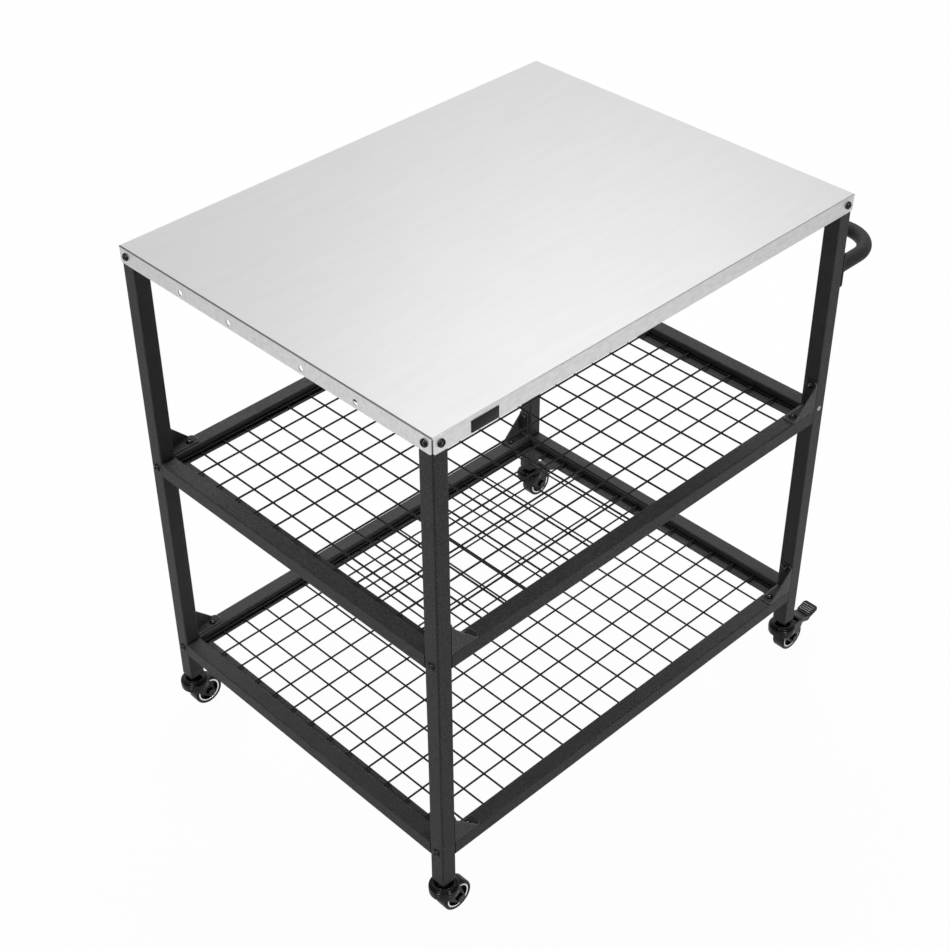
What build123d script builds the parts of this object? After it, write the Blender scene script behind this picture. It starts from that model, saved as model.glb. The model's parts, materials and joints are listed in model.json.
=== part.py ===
from build123d import *
import os
from math import cos, radians, sin

os.makedirs("parts", exist_ok=True)

# Rolling grill cart: a folded sheet tabletop on four square-tube legs, two wire
# shelves, a push handle on the right end and four swivel casters.
# Millimetres, +Z up, +X towards the handle, -Y is the front.

# Tabletop, one sheet folded down on four sides
top_length = 800.0
top_width = 610.0
top_height = 860.0
sheet = 1.2
apron_height = 25.0
bend_radius = 2.0
corner_seam = 1.6
apron_corner = 4.0
apron_hole_d = 8.4
apron_hole_drop = 16.0
apron_hole_pitch = 100.0
apron_pair_offset = 121.5

# Square tube of the legs and rails
leg_side = 25.0
rail_side = 25.0
tube_wall = 1.5
tube_corner = 2.5
leg_clearance = 0.3
leg_bottom = 75.0

# Shelves
mid_shelf_top = 505.0
low_shelf_top = 147.0
end_plate = 3.0
ledge_drop = 15.0
ledge_thick = 2.0
long_ledge = 8.5
side_ledge = 17.5
ledge_gap = 0.3
wire_d = 3.0
wire_gap = 0.05
wire_inset = 2.5
cells_along = 18
cells_across = 13

# Corner brackets between a long rail and a leg
bracket_arm = 50.0
bracket_web = 45.0
bracket_flange = 20.0
bracket_thick = 2.0
bracket_corner = 6.0
bracket_rail_screw = 36.0
bracket_leg_screw = 42.0

# Button-head screws
screw_d = 6.0
screw_grip = 8.0
screw_clearance = 0.15
head_d = 11.5
head_height = 3.2
head_taper = 25.0
socket_d = 4.6
socket_depth = 1.8

# Push handle
handle_tube_d = 22.0
handle_wall = 1.5
handle_reach = 102.5
handle_drop = 124.0
handle_bend = 51.0
plate_thick = 3.0
plate_height = 58.0
plate_corner = 5.0
plate_screw_pitch = 42.0

# Casters
wheel_d = 50.0
tyre_width = 22.0
tread_chamfer = 2.5
rim_d = 41.0
rim_width = 19.0
rim_lip = 3.0
web_recess = 5.0
boss_d = 17.0
trail = 18.0
fork_gap = 24.0
cheek = 2.5
cheek_tip_d = 17.0
cheek_top = 32.0
crown_d = 44.0
crown_thick = 3.0
crown_skirt = 10.0
crown_round = 2.5
crown_rise = 6.0
race_d = 39.0
race_height = 5.0
race_taper = 35.0
stem_d = 10.0
stem_grip = 26.0
stem_head_d = 16.0
stem_head = 2.4
stem_hex = 17.0
insert_flange = 3.0
insert_depth = 30.0
axle_d = 8.0
axle_head_d = 13.0
axle_head = 3.5
running_clearance = 0.05
side_clearance = 0.3
wheel_clearance = 1.5

# Brake pedal on the casters at the handle end, placed from its pivot
pedal_angle = 58.0
pedal_pin_d = 4.0
pedal_boss_d = 8.8
pedal_tyre_gap = 0.7
pedal_ear_d = 10.0
pedal_arm = 23.0
pedal_arm_drop = 6.5
pedal_elbow_d = 9.0
pedal_thick = 3.5
pad_length = 25.0
pad_width = 27.0
pad_corner = 5.0
pad_tilt = 16.0
rib_count = 4
rib_pitch = 4.0
rib_width = 1.6
rib_height = 1.2
rib_inset = 3.0

# Places that follow from the sizes above
leg_x = top_length / 2 - sheet - leg_clearance - leg_side / 2
leg_y = top_width / 2 - sheet - leg_clearance - leg_side / 2
leg_top = top_height - bend_radius
long_rail_half = leg_x - leg_side / 2
side_rail_half = leg_y - leg_side / 2
rail_inner_x = leg_x + leg_side / 2 - rail_side
rail_inner_y = leg_y + leg_side / 2 - rail_side
rail_x = rail_inner_x + rail_side / 2
rail_y = rail_inner_y + rail_side / 2
top_screw_z = top_height - apron_height / 2
handle_z = top_height - handle_drop
handle_face = leg_x + leg_side / 2
handle_bar_x = handle_face + handle_reach
handle_tip = handle_bar_x + handle_tube_d / 2
hole_r = screw_d / 2 + screw_clearance

# The origin is on the floor below the middle of the whole cart, handle and casters
# included, so the tabletop's middle lies a little to the left of it
left_tip = max(top_length / 2 + head_height, leg_x + crown_d / 2)
cart_x = (left_tip - handle_tip) / 2

SHELVES = {"mid": mid_shelf_top, "low": low_shelf_top}
CORNERS = {
    "front_left": (-1, -1),
    "front_right": (1, -1),
    "back_left": (-1, 1),
    "back_right": (1, 1),
}


def save(piece, node):
    """Label a finished piece and write it to its own file."""
    piece.part.label = node
    export_step(piece.part, f"parts/{node}.step")


def plan(x=0.0, y=0.0, z=0.0):
    """Horizontal plane at a place measured from the tabletop's middle."""
    return Plane(origin=(cart_x + x, y, z))


def front_view(x=0.0, y=0.0, z=0.0):
    """Upright plane with X to the right and Z up, seen from the front."""
    return Plane(origin=(cart_x + x, y, z), x_dir=(1, 0, 0), z_dir=(0, -1, 0))


def end_view(x=0.0, y=0.0, z=0.0):
    """Upright plane with Y to the right and Z up, seen from the handle end."""
    return Plane(origin=(cart_x + x, y, z), x_dir=(0, 1, 0), z_dir=(1, 0, 0))


def drill(plane, depth, radius=hole_r):
    """Cut a round hole that runs `depth` to each side of a plane."""
    with BuildSketch(plane) as hole:
        Circle(radius)
    extrude(hole.sketch, amount=depth, both=True, mode=Mode.SUBTRACT)


def add_tube(plane, side, length):
    """Square tube that runs from a plane along its normal."""
    with BuildSketch(plane) as section:
        RectangleRounded(side, side, tube_corner)
        Rectangle(side - 2 * tube_wall, side - 2 * tube_wall, mode=Mode.SUBTRACT)
    extrude(section.sketch, amount=length)


# Tabletop
with BuildPart() as tabletop:
    with BuildSketch(plan(z=top_height)):
        Rectangle(top_length, top_width)
    extrude(amount=-apron_height)
    fillet(tabletop.faces().sort_by(Axis.Z)[-1].edges(), bend_radius)
    offset(amount=-sheet, openings=tabletop.faces().sort_by(Axis.Z)[0])
    # Open seams where two folded sides meet
    with BuildSketch(plan(z=top_height - apron_height)):
        with GridLocations(top_length, top_width, 2, 2):
            Rectangle(2 * corner_seam, 2 * corner_seam)
    extrude(amount=apron_height - bend_radius, mode=Mode.SUBTRACT)
    lower_edges = tabletop.edges().group_by(Axis.Z)[0]
    fillet(lower_edges.filter_by(lambda edge: edge.length < 2 * sheet), apron_corner)
    for sx, sy in CORNERS.values():
        drill(end_view(sx * top_length / 2, sy * leg_y, top_screw_z), 2 * sheet)
        drill(front_view(sx * leg_x, sy * top_width / 2, top_screw_z), 2 * sheet)
    # Two pairs of holes for hanging tools or a towel bar on the left side
    for pair in (-1, 1):
        for side in (-1, 1):
            hole_y = pair * apron_pair_offset + side * apron_hole_pitch / 2
            hole_plane = end_view(-top_length / 2, hole_y, top_height - apron_hole_drop)
            drill(hole_plane, 2 * sheet, apron_hole_d / 2)
save(tabletop, "tabletop")


def make_leg(sx, sy):
    """One leg, drilled for the screws of the tabletop, rails, brackets and handle."""
    outer_x = sx * (leg_x + leg_side / 2)
    inner_x = sx * (leg_x - leg_side / 2)
    outer_y = sy * (leg_y + leg_side / 2)
    with BuildPart() as leg:
        add_tube(plan(sx * leg_x, sy * leg_y, leg_bottom), leg_side, leg_top - leg_bottom)
        drill(end_view(outer_x, sy * leg_y, top_screw_z), 2 * tube_wall)
        drill(front_view(sx * leg_x, outer_y, top_screw_z), 2 * tube_wall)
        for shelf_top in SHELVES.values():
            drill(end_view(sx * leg_x, sy * leg_y, shelf_top - rail_side / 2), leg_side)
            drill(end_view(inner_x, sy * leg_y, shelf_top + bracket_leg_screw), 2 * tube_wall)
        if sx > 0:
            for side in (-1, 1):
                plate_screw_z = handle_z + side * plate_screw_pitch / 2
                drill(end_view(outer_x, sy * leg_y, plate_screw_z), 2 * tube_wall)
    return leg


for corner, (sx, sy) in CORNERS.items():
    save(make_leg(sx, sy), f"leg_{corner}")


def make_long_rail(sy, shelf_top):
    """Front or back rail: closed ends for the bolts and a ledge for the wires."""
    middle_z = shelf_top - rail_side / 2
    with BuildPart() as rail:
        add_tube(end_view(-long_rail_half, sy * rail_y, middle_z), rail_side, 2 * long_rail_half)
        for end in (-1, 1):
            with BuildSketch(end_view(end * long_rail_half, sy * rail_y, middle_z)):
                Rectangle(rail_side - tube_wall, rail_side - tube_wall)
            extrude(amount=-end * end_plate)
            drill(end_view(end * long_rail_half, sy * leg_y, middle_z), 2 * end_plate)
            screw_x = end * (long_rail_half - bracket_rail_screw)
            drill(plan(screw_x, sy * leg_y, shelf_top), 2 * tube_wall)
        with BuildSketch(front_view(0, sy * rail_inner_y, shelf_top - ledge_drop)):
            Rectangle(2 * long_rail_half, ledge_thick, align=(Align.CENTER, Align.MAX))
        extrude(amount=sy * long_ledge)
    return rail


def make_side_rail(sx, shelf_top):
    """Left or right rail, welded between two legs, with a wider ledge."""
    ledge_half = rail_inner_y - long_ledge - ledge_gap
    back_end = front_view(sx * rail_x, side_rail_half, shelf_top - rail_side / 2)
    with BuildPart() as rail:
        add_tube(back_end, rail_side, 2 * side_rail_half)
        with BuildSketch(end_view(sx * rail_inner_x, 0, shelf_top - ledge_drop)):
            Rectangle(2 * ledge_half, ledge_thick, align=(Align.CENTER, Align.MAX))
        extrude(amount=-sx * side_ledge)
    return rail


def make_mesh(shelf_top):
    """Wire grid: the cross wires lie on the ledges and the long wires on top of them."""
    first_x = rail_inner_x - wire_inset
    first_y = rail_inner_y - wire_inset
    cross_z = shelf_top - ledge_drop + wire_d / 2 + wire_gap
    long_z = cross_z + wire_d + wire_gap
    overhang = wire_d / 2
    with BuildPart() as mesh:
        with BuildSketch(front_view(0, first_y + overhang, cross_z)):
            with GridLocations(2 * first_x / cells_along, 0, cells_along + 1, 1):
                Circle(wire_d / 2)
        extrude(amount=2 * (first_y + overhang))
        with BuildSketch(end_view(-first_x - overhang, 0, long_z)):
            with GridLocations(2 * first_y / cells_across, 0, cells_across + 1, 1):
                Circle(wire_d / 2)
        extrude(amount=2 * (first_x + overhang))
    return mesh


def make_bracket(sx, sy, shelf_top):
    """Folded corner bracket: a flange on the rail, a flange on the leg and a web."""
    face_x = sx * (leg_x - leg_side / 2)
    outer_y = sy * (leg_y + leg_side / 2)
    from_leg = Align.MAX if sx > 0 else Align.MIN
    from_front = Align.MAX if sy > 0 else Align.MIN
    with BuildPart() as bracket:
        with BuildSketch(plan(face_x, outer_y, shelf_top)) as rail_flange:
            Rectangle(bracket_arm, bracket_flange, align=(from_leg, from_front))
            fillet(rail_flange.vertices().group_by(Axis.X)[0 if sx > 0 else -1], bracket_corner)
        extrude(amount=bracket_thick)
        with BuildSketch(end_view(face_x, outer_y, shelf_top)) as leg_flange:
            Rectangle(bracket_flange, bracket_arm, align=(from_front, Align.MIN))
            fillet(leg_flange.vertices().group_by(Axis.Y)[-1], bracket_corner)
        extrude(amount=-sx * bracket_thick)
        with BuildSketch(front_view(face_x, outer_y, shelf_top)):
            with BuildLine():
                Polyline((0, 0), (-sx * bracket_web, 0), (0, bracket_web), close=True)
            make_face()
        extrude(amount=sy * bracket_thick)
        drill(plan(face_x - sx * bracket_rail_screw, sy * leg_y, shelf_top), 2 * bracket_thick)
        drill(end_view(face_x, sy * leg_y, shelf_top + bracket_leg_screw), 2 * bracket_thick)
    return bracket


for shelf, shelf_top in SHELVES.items():
    save(make_long_rail(-1, shelf_top), f"{shelf}_rail_front")
    save(make_long_rail(1, shelf_top), f"{shelf}_rail_back")
    save(make_side_rail(-1, shelf_top), f"{shelf}_rail_left")
    save(make_side_rail(1, shelf_top), f"{shelf}_rail_right")
    save(make_mesh(shelf_top), f"{shelf}_mesh")
    for corner, (sx, sy) in CORNERS.items():
        save(make_bracket(sx, sy, shelf_top), f"{shelf}_bracket_{corner}")

# Push handle: a bent tube welded into two plates that are screwed to the right legs
with BuildPart() as handle:
    with BuildLine(plan(z=handle_z)) as handle_path:
        FilletPolyline(
            (handle_face, -leg_y),
            (handle_bar_x, -leg_y),
            (handle_bar_x, leg_y),
            (handle_face, leg_y),
            radius=handle_bend,
        )
    with BuildSketch(end_view(handle_face, -leg_y, handle_z)):
        Circle(handle_tube_d / 2)
        Circle(handle_tube_d / 2 - handle_wall, mode=Mode.SUBTRACT)
    sweep(path=handle_path.line)
    for sy in (-1, 1):
        with BuildSketch(end_view(handle_face, sy * leg_y, handle_z)):
            RectangleRounded(leg_side, plate_height, plate_corner)
            Circle(handle_tube_d / 2 - handle_wall, mode=Mode.SUBTRACT)
            with GridLocations(0, plate_screw_pitch, 1, 2):
                Circle(hole_r, mode=Mode.SUBTRACT)
        extrude(amount=plate_thick)
save(handle, "handle")


def add_screw(place, outward, length):
    """Button-head screw whose head sits on a face at `place`, pointing outward."""
    seat = Plane(origin=(cart_x + place[0], place[1], place[2]), z_dir=outward)
    with BuildSketch(seat) as head:
        Circle(head_d / 2)
    extrude(head.sketch, amount=head_height, taper=head_taper)
    with BuildSketch(seat.offset(head_height)) as socket:
        RegularPolygon(socket_d / 2, 6)
    extrude(socket.sketch, amount=-socket_depth, mode=Mode.SUBTRACT)
    with BuildSketch(seat) as shank:
        Circle(screw_d / 2)
    extrude(shank.sketch, amount=-length)


with BuildPart() as top_screws:
    top_grip = sheet + leg_clearance + screw_grip
    for sx, sy in CORNERS.values():
        add_screw((sx * top_length / 2, sy * leg_y, top_screw_z), (sx, 0, 0), top_grip)
        add_screw((sx * leg_x, sy * top_width / 2, top_screw_z), (0, sy, 0), top_grip)
save(top_screws, "top_screws")

with BuildPart() as rail_bolts:
    bolt_grip = leg_side + end_plate + screw_grip
    for shelf_top in SHELVES.values():
        for sx, sy in CORNERS.values():
            bolt_place = (sx * (leg_x + leg_side / 2), sy * leg_y, shelf_top - rail_side / 2)
            add_screw(bolt_place, (sx, 0, 0), bolt_grip)
save(rail_bolts, "rail_bolts")

with BuildPart() as bracket_screws:
    flange_grip = bracket_thick + screw_grip
    for shelf_top in SHELVES.values():
        for sx, sy in CORNERS.values():
            face_x = sx * (leg_x - leg_side / 2)
            rail_place = (face_x - sx * bracket_rail_screw, sy * leg_y, shelf_top + bracket_thick)
            leg_place = (face_x - sx * bracket_thick, sy * leg_y, shelf_top + bracket_leg_screw)
            add_screw(rail_place, (0, 0, 1), flange_grip)
            add_screw(leg_place, (-sx, 0, 0), flange_grip)
save(bracket_screws, "bracket_screws")

with BuildPart() as handle_screws:
    for sy in (-1, 1):
        for side in (-1, 1):
            plate_screw_z = handle_z + side * plate_screw_pitch / 2
            plate_place = (handle_face + plate_thick, sy * leg_y, plate_screw_z)
            add_screw(plate_place, (1, 0, 0), plate_thick + screw_grip)
save(handle_screws, "handle_screws")

# Heights on a caster, from the floor up
axle_z = wheel_d / 2
crown_z = wheel_d + crown_rise
race_z = crown_z + crown_thick + side_clearance
collar_z = race_z + race_height
insert_z = leg_bottom - insert_flange
stem_hole_r = stem_d / 2 + running_clearance

# The pedal's pivot keeps its cam just clear of the tyre
pivot_reach = wheel_d / 2 + pedal_tyre_gap + pedal_boss_d / 2
pivot_x = trail + pivot_reach * cos(radians(pedal_angle))
pivot_z = axle_z + pivot_reach * sin(radians(pedal_angle))


def make_insert(x, y):
    """Plastic plug that closes the leg and carries the stem."""
    plug_side = leg_side - 2 * tube_wall - 2 * side_clearance
    with BuildPart() as insert:
        with BuildSketch(plan(x, y, insert_z)):
            RectangleRounded(leg_side, leg_side, tube_corner)
        extrude(amount=insert_flange)
        with BuildSketch(plan(x, y, leg_bottom)):
            Rectangle(plug_side, plug_side)
        extrude(amount=insert_depth)
        drill(plan(x, y, leg_bottom), insert_depth + insert_flange, stem_hole_r)
    return insert


def make_stem(x, y):
    """Threaded stem with a hexagon collar; its riveted foot holds the fork up."""
    foot_z = crown_z - side_clearance - stem_head
    with BuildPart() as stem:
        with BuildSketch(plan(x, y, foot_z)):
            Circle(stem_d / 2)
        extrude(amount=leg_bottom + stem_grip - foot_z)
        with BuildSketch(plan(x, y, foot_z)):
            Circle(stem_head_d / 2)
        extrude(amount=stem_head)
        with BuildSketch(plan(x, y, collar_z)):
            RegularPolygon(stem_hex / 2, 6, major_radius=False)
        extrude(amount=insert_z - collar_z)
    return stem


def make_race(x, y):
    """Upper ball cup, clamped under the stem's collar."""
    with BuildPart() as race:
        with BuildSketch(plan(x, y, race_z)):
            Circle(race_d / 2)
        extrude(amount=race_height, taper=race_taper)
        drill(plan(x, y, race_z), 2 * race_height, stem_hole_r)
    return race


def make_fork(x, y, braked):
    """Swivel fork: a crown with a skirt cut out round the wheel, and two tapered cheeks."""
    with BuildPart() as fork:
        with BuildSketch(plan(x, y, crown_z - crown_skirt)):
            Circle(crown_d / 2)
        extrude(amount=crown_skirt + crown_thick)
        fillet(fork.edges().group_by(Axis.Z)[-1], crown_round)
        with BuildSketch(plan(x, y, crown_z - crown_skirt)):
            Circle(crown_d / 2 - cheek)
        extrude(amount=crown_skirt, mode=Mode.SUBTRACT)
        drill(front_view(x + trail, y, axle_z), fork_gap / 2, wheel_d / 2 + wheel_clearance)
        for side in (-1, 1):
            with BuildSketch(front_view(x, y + side * fork_gap / 2)):
                with Locations((trail, axle_z)):
                    Circle(cheek_tip_d / 2)
                with Locations((0, crown_z)):
                    Rectangle(cheek_top, crown_skirt, align=(Align.CENTER, Align.MAX))
                if braked:
                    with Locations((pivot_x, pivot_z)):
                        Circle(pedal_ear_d / 2)
                make_hull()
            extrude(amount=-side * cheek)
        drill(plan(x, y, crown_z), 2 * crown_thick, stem_hole_r)
        drill(front_view(x + trail, y, axle_z), fork_gap, axle_d / 2 + running_clearance)
        if braked:
            drill(front_view(x + pivot_x, y, pivot_z), fork_gap, pedal_pin_d / 2 + running_clearance)
    return fork


def make_axle(x, y):
    """Axle bolt with a head at the front and a nut at the back."""
    outer = fork_gap / 2 + cheek
    with BuildPart() as axle:
        with BuildSketch(front_view(x + trail, y, axle_z)):
            Circle(axle_d / 2)
        extrude(amount=outer + axle_head, both=True)
        for side in (-1, 1):
            with BuildSketch(front_view(x + trail, y + side * outer, axle_z)):
                RegularPolygon(axle_head_d / 2, 6, major_radius=False)
            extrude(amount=-side * axle_head)
    return axle


def make_tyre(x, y):
    """Rubber tyre with bevelled shoulders."""
    with BuildPart() as tyre:
        with BuildSketch(front_view(x + trail, y, axle_z)):
            Circle(wheel_d / 2)
            Circle(rim_d / 2, mode=Mode.SUBTRACT)
        extrude(amount=tyre_width / 2, both=True)
        shoulders = tyre.edges().filter_by(GeomType.CIRCLE).group_by(SortBy.RADIUS)[-1]
        chamfer(shoulders, tread_chamfer)
    return tyre


def make_hub(x, y):
    """Wheel centre: a rim inside the tyre, a recessed web and a boss that runs on the axle."""
    rim_r = rim_d / 2 - running_clearance
    with BuildPart() as hub:
        with BuildSketch(front_view(x + trail, y, axle_z)):
            Circle(rim_r)
        extrude(amount=rim_width / 2, both=True)
        for side in (-1, 1):
            with BuildSketch(front_view(x + trail, y + side * rim_width / 2, axle_z)):
                Circle(rim_r - rim_lip)
            extrude(amount=side * web_recess, mode=Mode.SUBTRACT)
        with BuildSketch(front_view(x + trail, y, axle_z)):
            Circle(boss_d / 2)
        extrude(amount=fork_gap / 2 - side_clearance, both=True)
        drill(front_view(x + trail, y, axle_z), fork_gap, axle_d / 2 + running_clearance)
    return hub


def make_pedal(x, y):
    """Brake pedal: a cam and an arm on two pins, with a ribbed pad for the toe."""
    pad_along = Vector(cos(radians(pad_tilt)), 0, sin(radians(pad_tilt)))
    pad_up = Vector(-sin(radians(pad_tilt)), 0, cos(radians(pad_tilt)))
    pad_root = Vector(cart_x + x + pivot_x + pedal_arm, y, pivot_z - pedal_arm_drop)
    pad_middle = pad_root + pad_along * (pad_length / 2) + pad_up * (pedal_thick / 2)
    elbow = pad_root - pad_up * ((pedal_elbow_d - pedal_thick) / 2)
    pad_top = Plane(origin=pad_middle, x_dir=pad_along, z_dir=pad_up)
    with BuildPart() as pedal:
        with BuildSketch(front_view(x, y)):
            with Locations((pivot_x, pivot_z)):
                Circle(pedal_boss_d / 2)
            with Locations((elbow.X - cart_x - x, elbow.Z)):
                Circle(pedal_elbow_d / 2)
            make_hull()
        extrude(amount=fork_gap / 2 - side_clearance, both=True)
        with BuildSketch(pad_top):
            RectangleRounded(pad_length, pad_width, pad_corner)
        extrude(amount=-pedal_thick)
        with BuildSketch(pad_top):
            with GridLocations(rib_pitch, 0, rib_count, 1):
                Rectangle(rib_width, pad_width - 2 * rib_inset)
        extrude(amount=rib_height)
        with BuildSketch(front_view(x + pivot_x, y, pivot_z)):
            Circle(pedal_pin_d / 2)
        extrude(amount=fork_gap / 2 + cheek, both=True)
    return pedal


for corner, (sx, sy) in CORNERS.items():
    stem_x = sx * leg_x
    stem_y = sy * leg_y
    braked = sx > 0
    save(make_insert(stem_x, stem_y), f"caster_{corner}_insert")
    save(make_stem(stem_x, stem_y), f"caster_{corner}_stem")
    save(make_race(stem_x, stem_y), f"caster_{corner}_race")
    save(make_fork(stem_x, stem_y, braked), f"caster_{corner}_fork")
    save(make_axle(stem_x, stem_y), f"caster_{corner}_axle")
    save(make_tyre(stem_x, stem_y), f"caster_{corner}_tyre")
    save(make_hub(stem_x, stem_y), f"caster_{corner}_hub")
    if braked:
        save(make_pedal(stem_x, stem_y), f"caster_{corner}_pedal")
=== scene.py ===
"""Looks of the rolling grill cart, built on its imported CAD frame. Metres, +Z up, -Y is the front."""
import json
import math

import bmesh
import bpy
from mathutils import Matrix, Quaternion, Vector


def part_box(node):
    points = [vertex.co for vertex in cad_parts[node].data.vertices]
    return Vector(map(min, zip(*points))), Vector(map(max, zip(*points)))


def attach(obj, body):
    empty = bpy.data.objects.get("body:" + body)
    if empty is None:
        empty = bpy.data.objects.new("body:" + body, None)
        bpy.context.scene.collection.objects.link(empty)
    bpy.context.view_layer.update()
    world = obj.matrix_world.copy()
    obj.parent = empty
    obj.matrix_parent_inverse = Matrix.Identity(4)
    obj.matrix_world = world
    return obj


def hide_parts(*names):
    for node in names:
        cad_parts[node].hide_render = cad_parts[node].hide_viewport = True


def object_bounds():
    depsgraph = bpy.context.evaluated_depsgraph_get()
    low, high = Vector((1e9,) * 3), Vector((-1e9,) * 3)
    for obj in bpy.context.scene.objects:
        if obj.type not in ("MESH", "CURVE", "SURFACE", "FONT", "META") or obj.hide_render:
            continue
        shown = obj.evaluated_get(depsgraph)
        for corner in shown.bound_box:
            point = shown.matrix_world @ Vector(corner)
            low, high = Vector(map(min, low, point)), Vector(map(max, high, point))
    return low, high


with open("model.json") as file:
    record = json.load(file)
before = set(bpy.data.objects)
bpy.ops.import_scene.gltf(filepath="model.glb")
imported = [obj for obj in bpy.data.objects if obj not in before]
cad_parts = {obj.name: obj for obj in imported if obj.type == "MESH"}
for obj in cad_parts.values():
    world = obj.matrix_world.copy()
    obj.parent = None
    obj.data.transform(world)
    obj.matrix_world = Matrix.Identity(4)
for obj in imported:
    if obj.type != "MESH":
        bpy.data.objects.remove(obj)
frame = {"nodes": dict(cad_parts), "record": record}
cad_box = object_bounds()

MM = 0.001
UP = Vector((0, 0, 1))
CORNERS = {
    "front_left": (-1, -1),
    "front_right": (1, -1),
    "back_left": (-1, 1),
    "back_right": (1, 1),
}
SHELVES = ("mid", "low")

# Camera, solved from the photograph
PHOTO_SIZE = 950
PRINCIPAL_POINT = (440.9, 473.6)
FOCAL_PIXELS = 1778.8
SENSOR_MM = 36.0
CAMERA_PLACE = Vector((-1.5433, -1.4981, 2.0673))
CAMERA_AIM = Vector((-0.1128, 0.0483, 0.4300))
CAMERA_ROLL = math.radians(-1.24)

# Button-head screws
HEAD_RADIUS = 5.75 * MM
HEAD_RIM = 0.5 * MM
HEAD_HEIGHT = 3.2 * MM
HEAD_FLAT = 3.1 * MM
SOCKET_RADIUS = 2.6 * MM
SOCKET_DEPTH = 1.0 * MM
SOCKET_CONE = 0.4 * MM
SOCKET_CORNERS = 6
SHANK_RADIUS = 3.0 * MM
SHANK_LENGTH = 8.0 * MM
BRACKET_THICK = 2.0 * MM
BRACKET_RAIL_SCREW = 36.0 * MM
BRACKET_LEG_SCREW = 42.0 * MM
PLATE_THICK = 3.0 * MM
PLATE_HOLE_SPACING = 42.0 * MM

# Wheels
SHOULDER_RADIUS = 3.0 * MM
SIDEWALL_DROP = 0.8 * MM
RIM_RING_OUTER = 20.3 * MM
RIM_RING_INNER = 17.5 * MM
RIM_RING_PROUD = 0.7 * MM
RIM_FACE = 9.5 * MM

# Raised beads round the forks' crowns, and the stepped race above them, in shares of its box
BEAD_HEIGHTS = (52.6 * MM, 55.0 * MM)
BEAD_RADIUS = 0.7 * MM
RACE_BORE = 0.28
RACE_STEPS = (
    (1.00, 0.00), (1.00, 0.14), (0.985, 0.22), (0.955, 0.26), (0.930, 0.20), (0.905, 0.28),
    (0.890, 0.44), (0.868, 0.52), (0.845, 0.48), (0.826, 0.60), (0.815, 0.80), (0.795, 0.96), (0.765, 1.00),
)

# Bare plate on the front apron, from the tabletop's left end and its lower edge
BARE_PLATE_START = 62.0 * MM
BARE_PLATE_LENGTH = 45.0 * MM
BARE_PLATE_HEIGHT = 17.0 * MM
BARE_PLATE_RISE = 1.6 * MM
BARE_PLATE_THICK = 0.9 * MM
BARE_PLATE_ROUND = 0.3 * MM

# Pale plug in the front right leg, below the top of the upper shelf's rail
LEG_PLUG_RADIUS = 4.0 * MM
LEG_PLUG_HEIGHT = 1.0 * MM
LEG_PLUG_DROP = 2.2 * MM

# Fineness of the round forms, and the angle from which an edge looks sharp
SCREW_SIDES = 36
CASTER_SIDES = 72
WHEEL_SIDES = 96
SHOULDER_STEPS = 6
PLUG_STEPS = 7
DOME_STEPS = 8
PLATE_STEPS = 3
SHARP_ANGLE = math.radians(38.0)

# Most of a noise lies between these values, and the colours and roughnesses are spread over them
NOISE_LOW = 0.3
NOISE_HIGH = 0.7
BEVEL_SAMPLES = 6
CREVICE_SAMPLES = 8

# Sheen of the coats, lacquers and plastics
COAT_SHEEN = 0.15
SCREW_SHEEN = 0.3
LACQUER_SHEEN = 0.22
PLASTIC_SHEEN = 0.25
RUBBER_SHEEN = 0.22

# Powder coat: grains to the metre, their depth, their speckle as a share of the brightness, and soft edges
COAT_ROUGHNESS = 0.5
COAT_GRAIN = 700.0
COAT_GRAIN_DEPTH = 0.06 * MM
COAT_SPECKLE = 0.55
COAT_EDGE = 0.9 * MM

# Painted shade in narrow corners: how far a corner is searched, how open it has to be for the coat to look
# clear, how narrow to look dark, and the shade's colour
CREVICE_REACH = 5.0 * MM
CREVICE_DARK = 0.45
CREVICE_CLEAR = 0.85
CREVICE_SHADE_COLOUR = (0.003, 0.003, 0.003)

# The sheet's thickness, a painted dark reflection on its folds at the short ends, and painted shade on the
# walls of its left apron's holes
SHEET_THICK = 1.2 * MM
FOLD_SHADE_BAND = (0.08, 0.3)
FOLD_SHADE_COLOUR = (0.28, 0.28, 0.28)
HOLE_WALL_FACING = 0.5

# The pedals' ribs stand on a tilted pad and carry a painted highlight on top
PAD_TILT = math.radians(16.0)
PAD_REACH = 21.0 * MM
RIB_HIGHLIGHT_DEPTH = 0.5 * MM
RIB_HIGHLIGHT_COLOUR = (0.24, 0.24, 0.24)

# Painted light and shade on the brackets: the webs painted paler than the flanges, and a painted highlight
# along the edges
WEB_LIT_COLOUR = (0.088, 0.088, 0.089)
EDGE_HIGHLIGHT_COLOUR = (0.3, 0.3, 0.3)
EDGE_HIGHLIGHT_REACH = 1.8 * MM
EDGE_HIGHLIGHT_BAND = (0.82, 0.99)

# Studio: how bright the world lights things and shows in reflections, with two grey sides high up
WORLD_LIGHT = 0.04
WORLD_MIRRORED = 0.75
FLANK_SIDE = Vector((0.707, -0.707, 0.0))
FLANK_OFFSET = 0.1
FLANK_SIDE_BAND = (0.15, 0.6)
FLANK_HEIGHT_BAND = (0.32, 0.46)
FLANK_GREY = 0.2

# Floor: how white it looks and shows in reflections, and the distances over which those fade
FLOOR_SIZE = 30.0
FLOOR_COLOUR = (0.8, 0.8, 0.8)
FLOOR_ROUGHNESS = 0.9
FLOOR_SEEN = 0.97
FLOOR_MIRRORED = 0.6
FLOOR_POOL = (1.0, 1.7)
FLOOR_EDGE = 0.68

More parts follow.
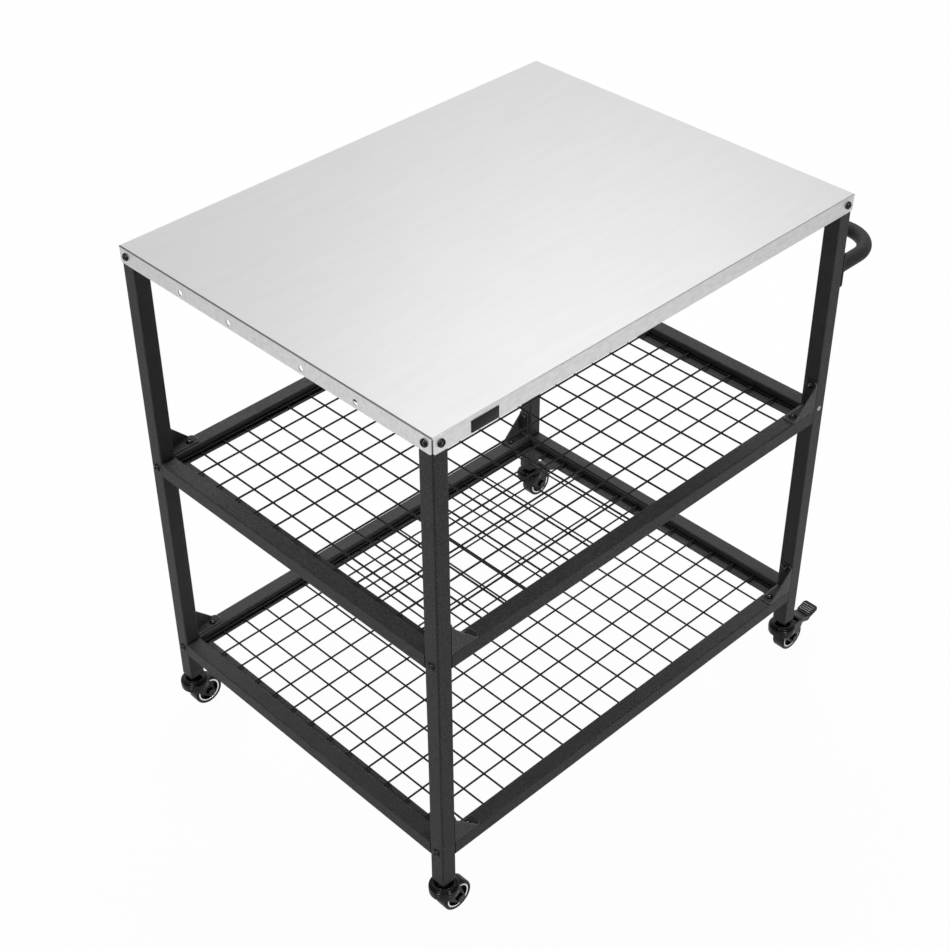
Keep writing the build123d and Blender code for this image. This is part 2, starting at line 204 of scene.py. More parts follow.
# Lamps: name, place, size, power, whether it lights things, whether shiny things mirror it
LAMPS = (
    ("key_light", (1.5, 1.6, 3.4), 2.6, 128.0, True, False),
    ("left_light", (-2.2, 0.9, 2.3), 0.8, 27.0, True, False),
    ("front_light", (1.1, -2.2, 2.3), 0.8, 26.0, True, False),
    ("left_glint", (-2.4, -0.3, 2.8), 0.9, 60.0, False, True),
    ("front_glint", (-0.2, -2.4, 2.8), 0.9, 60.0, False, True),
    ("back_light", (1.9, 1.2, 3.4), 2.4, 9.0, True, True),
)


# Shader nodes, of a material or of the world

def add_node(owner, kind, **settings):
    """A shader node with some of its settings changed."""
    node = owner.node_tree.nodes.new(kind)
    for name, value in settings.items():
        setattr(node, name, value)
    return node


def link(owner, source, target):
    owner.node_tree.links.new(source, target)


def add_math(owner, operation, first, second=None):
    """A sum, product or the like of a socket, alone or with another socket or a number."""
    node = add_node(owner, "ShaderNodeMath", operation=operation)
    link(owner, first, node.inputs[0])
    if isinstance(second, float):
        node.inputs[1].default_value = second
    elif second is not None:
        link(owner, second, node.inputs[1])
    return node.outputs["Value"]


def dot(owner, first, second):
    """How far a vector reaches along a direction, which is a socket or fixed."""
    node = add_node(owner, "ShaderNodeVectorMath", operation="DOT_PRODUCT")
    link(owner, first, node.inputs[0])
    if isinstance(second, Vector):
        node.inputs[1].default_value = second
    else:
        link(owner, second, node.inputs[1])
    return node.outputs["Value"]


def split(owner, vector):
    """The X, Y and Z of a vector."""
    node = add_node(owner, "ShaderNodeSeparateXYZ")
    link(owner, vector, node.inputs["Vector"])
    return node.outputs


def remap(owner, value, start, end, low=0.0, high=1.0):
    """A number that runs from low to high while a value runs from start to end."""
    span = add_node(owner, "ShaderNodeMapRange")
    span.inputs["From Min"].default_value = start
    span.inputs["From Max"].default_value = end
    span.inputs["To Min"].default_value = low
    span.inputs["To Max"].default_value = high
    link(owner, value, span.inputs["Value"])
    return span.outputs["Result"]


def own_place(material):
    """The point in the piece's own space."""
    return add_node(material, "ShaderNodeTexCoord").outputs["Object"]


def true_normal(material):
    """The direction that a face looks in."""
    return add_node(material, "ShaderNodeNewGeometry").outputs["True Normal"]


def bevel_normal(material, radius):
    """The direction that a face looks in, turning smoothly at its edges."""
    bevel = add_node(material, "ShaderNodeBevel", samples=BEVEL_SAMPLES)
    bevel.inputs["Radius"].default_value = radius
    return bevel.outputs["Normal"]


def facing(material, axis):
    """How squarely a face looks along an axis, either way."""
    return add_math(material, "ABSOLUTE", split(material, true_normal(material))[axis])


def noise(material, scale, detail=3.0, stretch=(1.0, 1.0, 1.0)):
    """Noise in the piece's own space, `scale` grains to the metre."""
    mapping = add_node(material, "ShaderNodeMapping")
    mapping.inputs["Scale"].default_value = stretch
    texture = add_node(material, "ShaderNodeTexNoise")
    texture.inputs["Scale"].default_value = scale
    texture.inputs["Detail"].default_value = detail
    link(material, own_place(material), mapping.inputs["Vector"])
    link(material, mapping.outputs["Vector"], texture.inputs["Vector"])
    return texture.outputs["Fac"]


def ramp(material, factor, dark, light):
    """A colour between two, by a noise."""
    node = add_node(material, "ShaderNodeValToRGB")
    first, last = node.color_ramp.elements
    first.position = NOISE_LOW
    first.color = (*dark, 1.0)
    last.position = NOISE_HIGH
    last.color = (*light, 1.0)
    link(material, factor, node.inputs["Fac"])
    return node.outputs["Color"]


# Materials

def new_material(name, colour, roughness, metallic=0.0):
    """A material with a plain shader, to which the functions below add detail."""
    material = bpy.data.materials.new(name)
    material.use_nodes = True
    shader = material.node_tree.nodes["Principled BSDF"]
    shader.inputs["Base Color"].default_value = (*colour, 1.0)
    shader.inputs["Roughness"].default_value = roughness
    shader.inputs["Metallic"].default_value = metallic
    return material, shader


def vary_colour(material, shader, pattern, dark, light):
    link(material, ramp(material, pattern, dark, light), shader.inputs["Base Color"])


def vary_roughness(material, shader, pattern, low, high):
    roughness = remap(material, pattern, NOISE_LOW, NOISE_HIGH, low, high)
    link(material, roughness, shader.inputs["Roughness"])


def mix_colour(material, shader, kind):
    """A mix that takes in the shader's colour and drives it."""
    mix = add_node(material, "ShaderNodeMix", data_type="RGBA", blend_type=kind)
    link(material, shader.inputs["Base Color"].links[0].from_socket, mix.inputs["A"])
    link(material, mix.outputs["Result"], shader.inputs["Base Color"])
    return mix


def blend(material, shader, colour, share):
    """Mix another colour into the shader's own, by a share."""
    mix = mix_colour(material, shader, "MIX")
    mix.inputs["B"].default_value = (*colour, 1.0)
    link(material, share, mix.inputs["Factor"])


def speckle(material, shader, grain, depth):
    """Vary the shader's colour with a grain, by a share of its brightness."""
    mix = mix_colour(material, shader, "MULTIPLY")
    mix.inputs["Factor"].default_value = 1.0
    link(material, ramp(material, grain, (1.0 - depth,) * 3, (1.0 + depth,) * 3), mix.inputs["B"])


def surface(material, shader, height, depth, edge):
    """Rounded edges of radius `edge` and a fine relief of `depth`."""
    bump = add_node(material, "ShaderNodeBump")
    bump.inputs["Distance"].default_value = depth
    link(material, bevel_normal(material, edge), bump.inputs["Normal"])
    link(material, height, bump.inputs["Height"])
    link(material, bump.outputs["Normal"], shader.inputs["Normal"])


def paint_crevice_shade(material, shader):
    """Painted shade: darken the colour in the narrow corners where pieces meet."""
    occlusion = add_node(material, "ShaderNodeAmbientOcclusion", samples=CREVICE_SAMPLES)
    occlusion.inputs["Distance"].default_value = CREVICE_REACH
    link(material, true_normal(material), occlusion.inputs["Normal"])
    narrow = remap(material, occlusion.outputs["AO"], CREVICE_DARK, CREVICE_CLEAR, 1.0, 0.0)
    blend(material, shader, CREVICE_SHADE_COLOUR, narrow)


def paint_fold_and_wall_shade(material, shader):
    """Painted dark reflection on the folds at the short ends, and painted shade on the walls of the left
    apron's holes.
    """
    tilt = add_math(material, "MULTIPLY", facing(material, "X"), facing(material, "Z"))
    sheet_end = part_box("tabletop")[0].x + SHEET_THICK
    in_sheet = add_math(material, "LESS_THAN", split(material, own_place(material))["X"], sheet_end)
    across = add_math(material, "LESS_THAN", facing(material, "X"), HOLE_WALL_FACING)
    wall = add_math(material, "MULTIPLY", in_sheet, across)
    shaded_fold_or_wall = add_math(material, "MAXIMUM", remap(material, tilt, *FOLD_SHADE_BAND), wall)
    blend(material, shader, FOLD_SHADE_COLOUR, shaded_fold_or_wall)


def sheet_metal():
    """Satin stainless sheet: a rolling grain, faint clouds and streaks on top, mottled sides."""
    material, shader = new_material("sheet_metal", (0.82, 0.82, 0.82), 0.36, metallic=1.0)
    clouds = noise(material, 9.0, detail=4.0)
    streaks = noise(material, 70.0, detail=5.0, stretch=(0.12, 1.0, 0.5))
    grain = noise(material, 160.0, detail=2.0, stretch=(0.06, 1.0, 1.0))
    mottle = noise(material, 170.0, detail=4.0, stretch=(0.5, 1.0, 1.0))
    vary_colour(material, shader, mottle, (0.76, 0.76, 0.76), (0.88, 0.88, 0.88))
    top = mix_colour(material, shader, "MIX")
    link(material, facing(material, "Z"), top.inputs["Factor"])
    link(material, ramp(material, streaks, (0.805, 0.805, 0.805), (0.83, 0.83, 0.83)), top.inputs["B"])
    # Painted dark reflection on the folds and painted shade in the left apron's holes
    paint_fold_and_wall_shade(material, shader)
    vary_roughness(material, shader, clouds, 0.35, 0.375)
    surface(material, shader, grain, depth=0.015 * MM, edge=0.4 * MM)
    return material


def powder_coat(
    name, dark, light, lit_side_colour=None, roughness=COAT_ROUGHNESS, grain=COAT_GRAIN, depth=COAT_GRAIN_DEPTH,
):
    """Black powder coat: fine orange peel, uneven sheen, softened edges, painted shade in the joints and,
    if a colour is given, painted light on faces that look along Y.
    """
    material, shader = new_material(name, light, roughness)
    shader.inputs["Specular IOR Level"].default_value = COAT_SHEEN
    patches = noise(material, 14.0, detail=4.0)
    peel = noise(material, grain, detail=2.0)
    vary_colour(material, shader, patches, dark, light)
    # Faces that look along Y are painted paler: painted light
    if lit_side_colour:
        blend(material, shader, lit_side_colour, facing(material, "Y"))
    speckle(material, shader, peel, COAT_SPECKLE)
    vary_roughness(material, shader, patches, roughness - 0.05, roughness + 0.06)
    surface(material, shader, peel, depth, COAT_EDGE)
    paint_crevice_shade(material, shader)
    return material


def bracket_coat_with_painted_light():
    """The same coat on the brackets, with painted shade darkening the flanges, painted light on the webs
    and a painted highlight along the edges.
    """
    material = powder_coat("bracket_coat_with_painted_light", (0.028, 0.028, 0.029), (0.036, 0.036, 0.037), lit_side_colour=WEB_LIT_COLOUR)
    shader = material.node_tree.nodes["Principled BSDF"]
    # A painted highlight along the edges, where the rounded normal turns away from the face's own
    turn = dot(material, bevel_normal(material, EDGE_HIGHLIGHT_REACH), true_normal(material))
    blend(material, shader, EDGE_HIGHLIGHT_COLOUR, remap(material, turn, *EDGE_HIGHLIGHT_BAND, 1.0, 0.0))
    return material


def wire_coat():
    """The same coat on the wires, too thin to show a grain."""
    material, shader = new_material("wire_coat", (0.022, 0.022, 0.023), 0.45)
    shader.inputs["Specular IOR Level"].default_value = COAT_SHEEN
    patches = noise(material, 14.0, detail=4.0)
    vary_colour(material, shader, patches, (0.018, 0.018, 0.019), (0.026, 0.026, 0.027))
    vary_roughness(material, shader, patches, 0.4, 0.5)
    return material


def black_oxide():
    """Blackened screws with a little worn shine."""
    material, shader = new_material("black_oxide", (0.006, 0.006, 0.007), 0.2)
    shader.inputs["Specular IOR Level"].default_value = SCREW_SHEEN
    wear = noise(material, 220.0)
    vary_colour(material, shader, wear, (0.004, 0.004, 0.005), (0.010, 0.010, 0.011))
    vary_roughness(material, shader, wear, 0.15, 0.25)
    surface(material, shader, noise(material, 900.0), depth=0.02 * MM, edge=0.2 * MM)
    return material


def socket_glint_steel():
    """Bright steel at the bottom of the screws' sockets, which shows as a painted glint."""
    material, shader = new_material("socket_glint_steel", (0.4, 0.4, 0.4), 0.35, metallic=1.0)
    scratches = noise(material, 1400.0)
    vary_colour(material, shader, scratches, (0.32, 0.32, 0.32), (0.48, 0.48, 0.48))
    vary_roughness(material, shader, scratches, 0.28, 0.42)
    return material


def bright_rim():
    """Bright metallic trim on the wheels' faces, slightly hazy."""
    material, shader = new_material("bright_rim", (0.9, 0.9, 0.9), 0.22, metallic=1.0)
    haze = noise(material, 240.0)
    vary_colour(material, shader, haze, (0.86, 0.86, 0.86), (0.94, 0.94, 0.93))
    vary_roughness(material, shader, haze, 0.18, 0.3)
    return material


def gloss_black(name, roughness):
    """Glossy lacquer of the caster forks, with slight waves."""
    material, shader = new_material(name, (0.005, 0.005, 0.006), roughness)
    shader.inputs["Specular IOR Level"].default_value = LACQUER_SHEEN
    waves = noise(material, 90.0, detail=2.0)
    vary_colour(material, shader, waves, (0.003, 0.003, 0.004), (0.008, 0.008, 0.009))
    vary_roughness(material, shader, waves, roughness - 0.04, roughness + 0.05)
    surface(material, shader, waves, depth=0.05 * MM, edge=0.8 * MM)
    return material


def plated_steel():
    """Black-passivated zinc of the stem and its collar."""
    material, shader = new_material("plated_steel", (0.08, 0.08, 0.085), 0.3, metallic=1.0)
    stains = noise(material, 120.0, detail=4.0)
    vary_colour(material, shader, stains, (0.05, 0.05, 0.055), (0.12, 0.12, 0.125))
    vary_roughness(material, shader, stains, 0.24, 0.42)
    surface(material, shader, noise(material, 800.0), depth=0.02 * MM, edge=0.3 * MM)
    return material


def moulded_plastic(name, dark, light, roughness):
    """Moulded plastic with a fine spark-eroded texture."""
    material, shader = new_material(name, light, roughness)
    shader.inputs["Specular IOR Level"].default_value = PLASTIC_SHEEN
    flow = noise(material, 60.0)
    vary_colour(material, shader, flow, dark, light)
    vary_roughness(material, shader, flow, roughness - 0.05, roughness + 0.06)
    surface(material, shader, noise(material, 1500.0, detail=2.0), depth=0.04 * MM, edge=0.4 * MM)
    return material


def ribbed_plastic():
    """Plastic of the brake pedals, with a painted highlight on the tops of the pad's ribs."""
    material = moulded_plastic("pedal_plastic", (0.006, 0.006, 0.007), (0.012, 0.012, 0.013), 0.22)
    shader = material.node_tree.nodes["Principled BSDF"]
    pedal = frame["nodes"]["caster_front_right_pedal"]
    pad_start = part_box("caster_front_right_pedal")[1].x - PAD_REACH
    pad_up = Vector((-math.sin(PAD_TILT), 0.0, math.cos(PAD_TILT)))
    rib_top = max(vertex.co.dot(pad_up) for vertex in pedal.data.vertices if vertex.co.x > pad_start)
    place = own_place(material)
    high = remap(material, dot(material, place, pad_up), rib_top - RIB_HIGHLIGHT_DEPTH, rib_top)
    on_pad = add_math(material, "GREATER_THAN", split(material, place)["X"], pad_start)
    blend(material, shader, RIB_HIGHLIGHT_COLOUR, add_math(material, "MULTIPLY", high, on_pad))
    return material


def tyre_rubber():
    """Dull black tread with a grey bloom."""
    material, shader = new_material("tyre_rubber", (0.009, 0.009, 0.009), 0.42)
    shader.inputs["Specular IOR Level"].default_value = RUBBER_SHEEN
    bloom = noise(material, 130.0, detail=5.0)
    vary_colour(material, shader, bloom, (0.005, 0.005, 0.005), (0.013, 0.013, 0.012))
    vary_roughness(material, shader, bloom, 0.28, 0.42)
    surface(material, shader, noise(material, 1200.0), depth=0.05 * MM, edge=0.5 * MM)
    return material


MATERIALS = {
    "sheet_steel": sheet_metal(),
    "frame_black": powder_coat("frame_coat", (0.044, 0.044, 0.045), (0.056, 0.056, 0.057)),
    "wire_black": wire_coat(),
    "screw_black": black_oxide(),
    "plug_plastic": moulded_plastic("plug_plastic", (0.012, 0.012, 0.012), (0.020, 0.020, 0.020), 0.42),
    "caster_zinc": plated_steel(),
    "caster_black": gloss_black("caster_lacquer", 0.14),
    "tyre_rubber": tyre_rubber(),
    "hub_plastic": moulded_plastic("hub_plastic", (0.006, 0.006, 0.007), (0.012, 0.012, 0.013), 0.28),
    "pedal_plastic": ribbed_plastic(),
}
pale_plastic = moulded_plastic("pale_plastic", (0.82, 0.82, 0.81), (0.90, 0.90, 0.89), 0.25)
rim_metal = bright_rim()
socket_steel = socket_glint_steel()
plate_enamel = powder_coat(
    "plate_enamel", (0.022, 0.022, 0.023), (0.032, 0.032, 0.033),
    roughness=0.4, grain=1600.0, depth=0.03 * MM,
)

# Nodes given a darker or paler copy of their slot's coat, as painted shade and light: the handle's copy is
# painted darker
SHADED_AND_LIT_COATS = {"handle": powder_coat("handle_shaded_coat", (0.027, 0.027, 0.028), (0.035, 0.035, 0.036))}
bracket_light_and_shade = bracket_coat_with_painted_light()
for shelf in SHELVES:
    for corner in CORNERS:
        SHADED_AND_LIT_COATS[f"{shelf}_bracket_{corner}"] = bracket_light_and_shade

for subpart in frame["record"]["subparts"]:
    node = frame["nodes"][subpart["node"]]
    node.data.materials.clear()
    node.data.materials.append(SHADED_AND_LIT_COATS.get(subpart["node"], MATERIALS[subpart["material_slot"]]))
    node.data.shade_smooth()


# Round pieces

def ring_radius(radius, angle, corners):
    """Distance from the axis to the edge of a circle, or of a polygon with some corners."""
    if not corners:
        return radius
    sector = math.tau / corners
    return radius * math.cos(sector / 2) / math.cos(angle % sector - sector / 2)


def add_turned(mesh, rings, place, axis, sides, closed=False):
    """Add a turned form to a mesh: rings of (radius, height along the axis, corners)."""
    turn = axis.to_track_quat("Z", "Y").to_matrix().to_4x4()
    matrix = Matrix.Translation(place) @ turn
    loops = []
    for radius, height, corners in rings:
        loop = []
        for step in range(sides):
            angle = math.tau * step / sides
            reach = ring_radius(radius, angle, corners)
            point = Vector((reach * math.cos(angle), reach * math.sin(angle), height))
            loop.append(mesh.verts.new(matrix @ point))
        loops.append(loop)
    pairs = list(zip(loops, loops[1:]))
    if closed:
        pairs.append((loops[-1], loops[0]))
    else:
        mesh.faces.new(list(reversed(loops[0])))
        mesh.faces.new(loops[-1])
    for lower, upper in pairs:
        for step in range(sides):
            after = (step + 1) % sides
            mesh.faces.new((lower[step], lower[after], upper[after], upper[step]))
    return loops


def arc(centre, radius, start, end):
    """Points of (radius, height, no corners) along a rounded corner, in degrees."""
    points = []
    for step in range(SHOULDER_STEPS + 1):
        angle = math.radians(start + (end - start) * step / SHOULDER_STEPS)
        points.append((centre[0] + radius * math.cos(angle), centre[1] + radius * math.sin(angle), 0))
    return points


def finish_piece(name, mesh, materials, body, nodes=()):
    """Turn a mesh into a piece that rides on a body and may stand for CAD nodes."""
    data = bpy.data.meshes.new(name)
    bmesh.ops.recalc_face_normals(mesh, faces=mesh.faces)
    mesh.to_mesh(data)
    mesh.free()
    data.shade_smooth()
    data.set_sharp_from_angle(angle=SHARP_ANGLE)
    for material in materials:
        data.materials.append(material)
    piece = bpy.data.objects.new(name, data)
    bpy.context.scene.collection.objects.link(piece)
    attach(piece, body)
    if nodes:
        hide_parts(*nodes)


def middle(node):
    low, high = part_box(node)
    return (low + high) / 2


# Screws with domed heads and a hexagon socket

def screw_rings():
    dome = []
    for step in range(DOME_STEPS + 1):
        angle = math.radians(90 * step / DOME_STEPS)
        radius = HEAD_FLAT + (HEAD_RADIUS - HEAD_FLAT) * math.cos(angle)
        dome.append((radius, HEAD_RIM + (HEAD_HEIGHT - HEAD_RIM) * math.sin(angle), 0))
    shank = [(SHANK_RADIUS, -SHANK_LENGTH, 0), (SHANK_RADIUS, 0.0, 0), (HEAD_RADIUS, 0.0, 0)]
    bottom = HEAD_HEIGHT - SOCKET_DEPTH
    socket = [
        (SOCKET_RADIUS, HEAD_HEIGHT, SOCKET_CORNERS),
        (SOCKET_RADIUS, bottom, SOCKET_CORNERS),
        (SOCKET_RADIUS / 2, bottom - SOCKET_CONE, 0),
    ]
    return shank + dome + socket


def make_screws(node, places):
    """One piece with all the screws of a CAD node, from (seat, outward) pairs."""
    mesh = bmesh.new()
    for seat, outward in places:
        loops = add_turned(mesh, screw_rings(), seat, outward, SCREW_SIDES)
        socket_floor = max(loops[-1][0].link_faces, key=lambda face: len(face.verts))
        # The socket floors take the bright steel, a painted glint
        socket_floor.material_index = 1
    materials = [MATERIALS["screw_black"], socket_steel]
    finish_piece(f"{node}_heads", mesh, materials, "cart", [node])


top_low, top_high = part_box("tabletop")


def screw_places():
    """Seats and outward directions of the screws, by CAD node."""
    handle_z = middle("handle").z
    screw_z = (top_low.z + top_high.z) / 2
    places = {"top_screws": [], "rail_bolts": [], "bracket_screws": [], "handle_screws": []}
    for corner, (sx, sy) in CORNERS.items():
        leg = middle(f"leg_{corner}")
        leg_low, leg_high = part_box(f"leg_{corner}")
        outer_x = leg_high.x if sx > 0 else leg_low.x
        inner_x = leg_low.x if sx > 0 else leg_high.x
        top_x = top_high.x if sx > 0 else top_low.x
        top_y = top_high.y if sy > 0 else top_low.y
        along_x = Vector((sx, 0, 0))
        places["top_screws"].append((Vector((top_x, leg.y, screw_z)), along_x))
        places["top_screws"].append((Vector((leg.x, top_y, screw_z)), Vector((0, sy, 0))))
        for shelf in SHELVES:
            rail_low, rail_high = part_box(f"{shelf}_rail_front")
            rail_z = (rail_low.z + rail_high.z) / 2
            on_rail = Vector((inner_x - sx * BRACKET_RAIL_SCREW, leg.y, rail_high.z + BRACKET_THICK))
            on_leg = Vector((inner_x - sx * BRACKET_THICK, leg.y, rail_high.z + BRACKET_LEG_SCREW))
            places["rail_bolts"].append((Vector((outer_x, leg.y, rail_z)), along_x))
            places["bracket_screws"].append((on_rail, UP))
            places["bracket_screws"].append((on_leg, -along_x))
        if sx > 0:
            for side in (-1, 1):
                plate_z = handle_z + side * PLATE_HOLE_SPACING / 2
                places["handle_screws"].append((Vector((outer_x + PLATE_THICK, leg.y, plate_z)), along_x))
    return places


for node, places in screw_places().items():
    make_screws(node, places)


# Casters

def make_tyre(corner):
    """Tyre with rounded shoulders."""
    node = f"caster_{corner}_tyre"
    low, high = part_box(node)
    outer = (high.z - low.z) / 2
    half = (high.y - low.y) / 2
    inner = RIM_RING_OUTER
    shoulder = outer - SHOULDER_RADIUS
    side = half - SHOULDER_RADIUS
    rings = [(inner, -half + SIDEWALL_DROP, 0), (inner + SIDEWALL_DROP, -half, 0)]
    rings += arc((shoulder, -side), SHOULDER_RADIUS, -90, 0)
    rings += arc((shoulder, side), SHOULDER_RADIUS, 0, 90)
    rings += [(inner + SIDEWALL_DROP, half, 0), (inner, half - SIDEWALL_DROP, 0)]
    mesh = bmesh.new()
    add_turned(mesh, rings, middle(node), Vector((0, 1, 0)), WHEEL_SIDES, closed=True)
    finish_piece(f"tyre_{corner}", mesh, [MATERIALS["tyre_rubber"]], f"wheel_{corner}", [node])


def make_rim_rings(corner):
    """A bright domed ring on each face of the rim."""
    centre = middle(f"caster_{corner}_hub")
    ring_middle = (RIM_RING_OUTER + RIM_RING_INNER) / 2
    ring_half = (RIM_RING_OUTER - RIM_RING_INNER) / 2
    mesh = bmesh.new()
    for side in (-1, 1):
        rings = [(RIM_RING_INNER, RIM_FACE, 0), (RIM_RING_OUTER, RIM_FACE, 0)]
        for step in range(DOME_STEPS + 1):
            angle = math.radians(180 * step / DOME_STEPS)
            radius = ring_middle + ring_half * math.cos(angle)
            rings.append((radius, RIM_FACE + RIM_RING_PROUD * math.sin(angle), 0))
        add_turned(mesh, rings, centre, Vector((0, side, 0)), WHEEL_SIDES, closed=True)
    finish_piece(f"rim_rings_{corner}", mesh, [rim_metal], f"wheel_{corner}")


def make_race(corner):
    """Pressed race cup with rolled steps."""
    node = f"caster_{corner}_race"
    low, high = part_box(node)
    outer = (high.x - low.x) / 2
    height = high.z - low.z
    foot = Vector(((low.x + high.x) / 2, (low.y + high.y) / 2, low.z))
    rings = [(RACE_BORE * outer, 0.0, 0)]
    rings += [(outer * wide, height * tall, 0) for wide, tall in RACE_STEPS]
    rings.append((RACE_BORE * outer, height, 0))
    mesh = bmesh.new()
    add_turned(mesh, rings, foot, UP, CASTER_SIDES, closed=True)
    finish_piece(f"race_{corner}", mesh, [MATERIALS["caster_black"]], "cart", [node])


def make_crown_beads(corner):
    """Two raised beads round the crown of a fork."""
    low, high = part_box(f"caster_{corner}_race")
    fork_low, fork_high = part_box(f"caster_{corner}_fork")
    axis = Vector(((low.x + high.x) / 2, (low.y + high.y) / 2, 0.0))
    crown = (fork_high.y - fork_low.y) / 2 - BEAD_RADIUS / 2
    mesh = bmesh.new()
    for height in BEAD_HEIGHTS:
        rings = arc((crown, height), BEAD_RADIUS, -90, 90)
        add_turned(mesh, rings, axis, UP, CASTER_SIDES, closed=True)
    materials = [MATERIALS["caster_black"]]
    finish_piece(f"crown_beads_{corner}", mesh, materials, f"fork_{corner}")


for corner in CORNERS:
    make_tyre(corner)
    make_rim_rings(corner)
    make_race(corner)
    make_crown_beads(corner)


# Small fittings

def make_bare_plate():
    """Bare plate on the front apron."""
    centre = Vector((
        top_low.x + BARE_PLATE_START + BARE_PLATE_LENGTH / 2,
        top_low.y - BARE_PLATE_THICK / 2,
        top_low.z + BARE_PLATE_RISE + BARE_PLATE_HEIGHT / 2,
    ))
    size = Vector((BARE_PLATE_LENGTH, BARE_PLATE_THICK, BARE_PLATE_HEIGHT))
    mesh = bmesh.new()
    bmesh.ops.create_cube(mesh, size=1.0)
    bmesh.ops.scale(mesh, vec=size, verts=mesh.verts)
    bmesh.ops.translate(mesh, vec=centre, verts=mesh.verts)
    bmesh.ops.bevel(
        mesh, geom=mesh.edges, offset=BARE_PLATE_ROUND, segments=PLATE_STEPS, profile=0.5, affect="EDGES",
    )
    finish_piece("bare_plate", mesh, [plate_enamel], "cart")


def make_leg_plug():
    """Pale press-in plug in a spare hole of the front right leg."""
    leg_low, leg_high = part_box("leg_front_right")
    rail_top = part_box("mid_rail_front")[1].z
    place = Vector(((leg_low.x + leg_high.x) / 2, leg_low.y, rail_top - LEG_PLUG_DROP))
    rings = [(LEG_PLUG_RADIUS, -LEG_PLUG_HEIGHT, 0), (LEG_PLUG_RADIUS, 0.0, 0)]
    for step in range(1, PLUG_STEPS):
        angle = math.radians(90 * step / PLUG_STEPS)
        rings.append((LEG_PLUG_RADIUS * math.cos(angle), LEG_PLUG_HEIGHT * math.sin(angle), 0))
    mesh = bmesh.new()
    add_turned(mesh, rings, place, Vector((0, -1, 0)), SCREW_SIDES)
    finish_piece("leg_plug", mesh, [pale_plastic], "cart")


make_bare_plate()
make_leg_plug()


# Studio

def make_camera():
    data = bpy.data.cameras.new("camera")
    data.sensor_width = SENSOR_MM
    data.lens = FOCAL_PIXELS / PHOTO_SIZE * SENSOR_MM
    data.shift_x = (PHOTO_SIZE / 2 - PRINCIPAL_POINT[0]) / PHOTO_SIZE
    data.shift_y = (PRINCIPAL_POINT[1] - PHOTO_SIZE / 2) / PHOTO_SIZE
    camera = bpy.data.objects.new("camera", data)
    bpy.context.scene.collection.objects.link(camera)
    camera.location = CAMERA_PLACE
    camera.rotation_mode = "QUATERNION"
    aim = (CAMERA_AIM - CAMERA_PLACE).to_track_quat("-Z", "Y")
    camera.rotation_quaternion = aim @ Quaternion((0, 0, 1), CAMERA_ROLL)
    bpy.context.scene.camera = camera


def make_light(name, place, aim, size, power, lights, mirrored):
    """A round lamp that lights the surfaces, or shows in shiny ones, or both."""
    data = bpy.data.lights.new(name, "AREA")
    data.shape = "DISK"
    data.size = size
    data.energy = power
    light = bpy.data.objects.new(name, data)
    bpy.context.scene.collection.objects.link(light)
    light.location = place
    light.rotation_mode = "QUATERNION"
    light.rotation_quaternion = (aim - place).to_track_quat("-Z", "Y")
    light.visible_diffuse = lights
    light.visible_glossy = mirrored


def ray_is(owner, kind):
    """Whether a ray of light is of some kind, 1 or 0."""
    return add_node(owner, "ShaderNodeLightPath").outputs[f"Is {kind} Ray"]


def show_white(owner, plain, white, seen, mirrored, target):
    """Show a white in place of the plain shader, by one share to the camera and another in reflections."""
    to_camera = add_math(owner, "MULTIPLY", ray_is(owner, "Camera"), seen)
    in_mirrors = add_math(owner, "MULTIPLY", ray_is(owner, "Glossy"), mirrored)
    mix = add_node(owner, "ShaderNodeMixShader")
    link(owner, add_math(owner, "ADD", to_camera, in_mirrors), mix.inputs["Fac"])
    link(owner, plain, mix.inputs[1])
    link(owner, white, mix.inputs[2])
    link(owner, mix.outputs["Shader"], target)


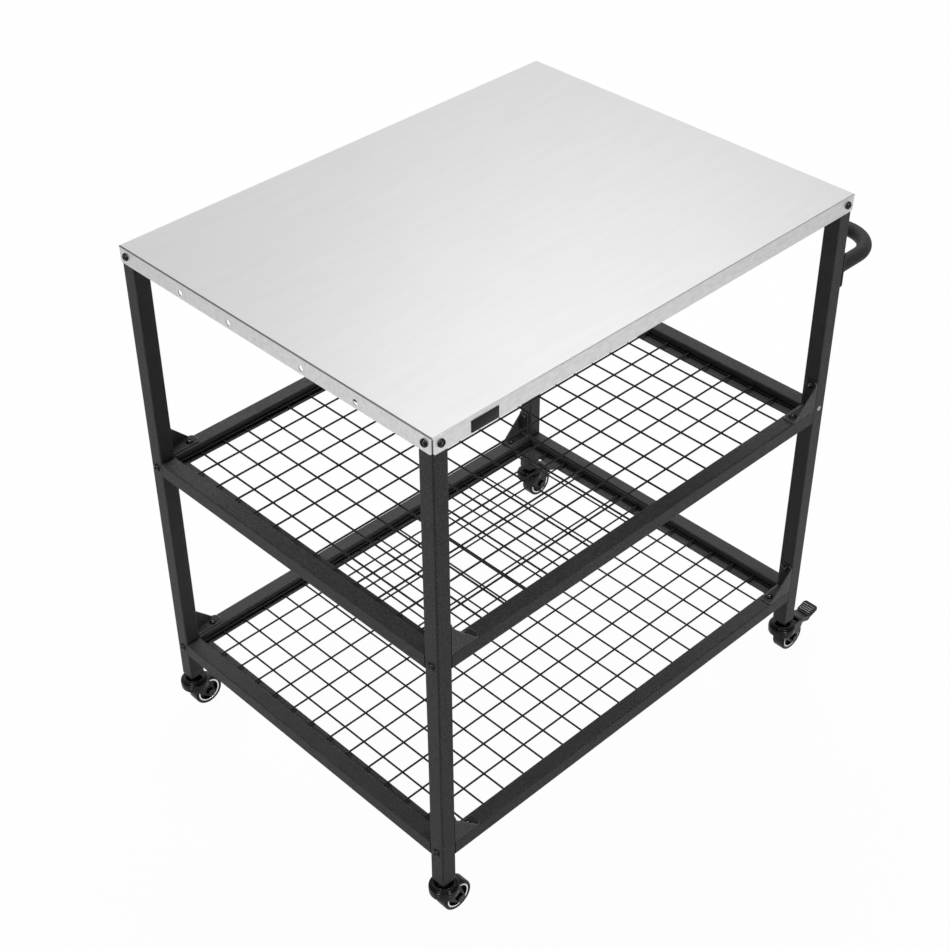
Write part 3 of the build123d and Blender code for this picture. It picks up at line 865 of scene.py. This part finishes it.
def flank_light(world):
    """White that turns grey on two high sides of the studio, which the tabletop's folds mirror."""
    view = add_node(world, "ShaderNodeTexCoord").outputs["Generated"]
    shifted = add_math(world, "ADD", dot(world, view, FLANK_SIDE), FLANK_OFFSET)
    side = remap(world, add_math(world, "ABSOLUTE", shifted), *FLANK_SIDE_BAND)
    height = remap(world, add_math(world, "ABSOLUTE", dot(world, view, UP)), *FLANK_HEIGHT_BAND)
    light = remap(world, add_math(world, "MULTIPLY", side, height), 0.0, 1.0, 1.0, FLANK_GREY)
    return add_math(world, "MAXIMUM", light, ray_is(world, "Camera"))


def make_world():
    world = bpy.data.worlds.new("studio")
    bpy.context.scene.world = world
    world.use_nodes = True
    nodes = world.node_tree.nodes
    plain = nodes["Background"]
    plain.inputs["Color"].default_value = (1.0, 1.0, 1.0, 1.0)
    plain.inputs["Strength"].default_value = WORLD_LIGHT
    white = add_node(world, "ShaderNodeBackground")
    link(world, flank_light(world), white.inputs["Color"])
    target = nodes["World Output"].inputs["Surface"]
    show_white(world, plain.outputs["Background"], white.outputs["Background"], 1.0, WORLD_MIRRORED, target)


def make_floor():
    """Pale floor whose pool of light, as shiny pieces mirror it, fades away from the cart."""
    material, shader = new_material("floor_white", FLOOR_COLOUR, FLOOR_ROUGHNESS)
    distance = add_node(material, "ShaderNodeVectorMath", operation="LENGTH")
    link(material, own_place(material), distance.inputs[0])
    pool = remap(material, distance.outputs["Value"], *FLOOR_POOL, 1.0, FLOOR_EDGE)
    white = add_node(material, "ShaderNodeEmission")
    strength = add_math(material, "MAXIMUM", pool, ray_is(material, "Camera"))
    link(material, strength, white.inputs["Strength"])
    plain, shown = shader.outputs["BSDF"], white.outputs["Emission"]
    target = material.node_tree.nodes["Material Output"].inputs["Surface"]
    show_white(material, plain, shown, FLOOR_SEEN, FLOOR_MIRRORED, target)
    mesh = bmesh.new()
    bmesh.ops.create_grid(mesh, x_segments=1, y_segments=1, size=FLOOR_SIZE / 2)
    data = bpy.data.meshes.new("floor")
    mesh.to_mesh(data)
    mesh.free()
    data.materials.append(material)
    floor = bpy.data.objects.new("floor", data)
    bpy.context.scene.collection.objects.link(floor)


make_camera()
make_world()
make_floor()
cart_middle = (cad_box[0] + cad_box[1]) / 2
for name, place, size, power, lights, mirrored in LAMPS:
    make_light(name, Vector(place), cart_middle, size, power, lights, mirrored)
bpy.context.scene.view_settings.view_transform = "Standard"
